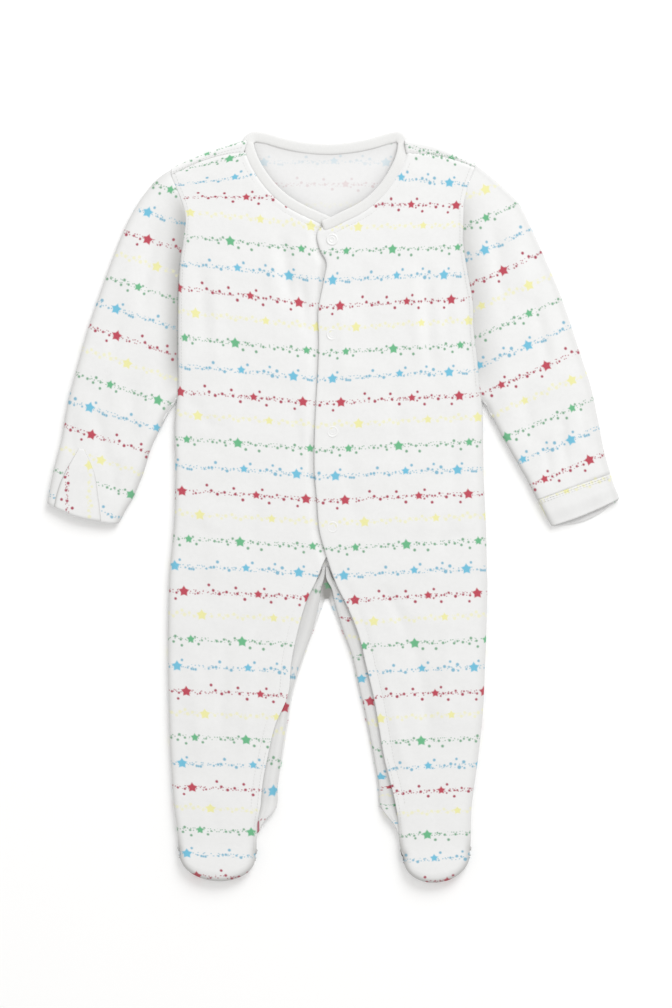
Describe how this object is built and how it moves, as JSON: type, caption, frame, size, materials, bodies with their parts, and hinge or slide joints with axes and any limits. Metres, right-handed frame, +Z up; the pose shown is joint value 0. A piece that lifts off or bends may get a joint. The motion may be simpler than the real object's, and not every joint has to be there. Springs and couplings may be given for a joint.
{
  "type": "footed baby sleepsuit",
  "caption": "Long-sleeved footed baby sleepsuit laid flat, front lap closed with poppers, bound neck, one scratch mitt folded over its cuff.",
  "frame": {"origin": "centre of the bounding box's bottom face: middle of the garment on the surface it lies on", "axes": "+Y up the garment from feet to neck, +X to the wearer's left, +Z up from the surface out of the front"},
  "size_m": [0.4684, 0.6148, 0.0097],
  "materials": {
    "white_interlock": "matt cotton interlock knit, white with a small scattered star and dot print in red, green, blue and yellow",
    "white_rib": "matt fine cotton rib, plain white",
    "white_popper": "satin white popper cap"
  },
  "bodies": {
    "root": {"back": "white_interlock", "front_right": "white_interlock", "front_left": "white_interlock", "sleeve_right": "white_interlock", "sleeve_left": "white_interlock", "cuff_left": "white_interlock", "mitt_right": "white_interlock", "leg_placket_right": "white_interlock", "leg_placket_left": "white_interlock", "sole_right": "white_interlock", "sole_left": "white_interlock", "neck_binding": "white_rib", "snap_1": "white_popper", "snap_2": "white_popper", "snap_3": "white_popper", "snap_4": "white_popper"}
  },
  "joints": []
}
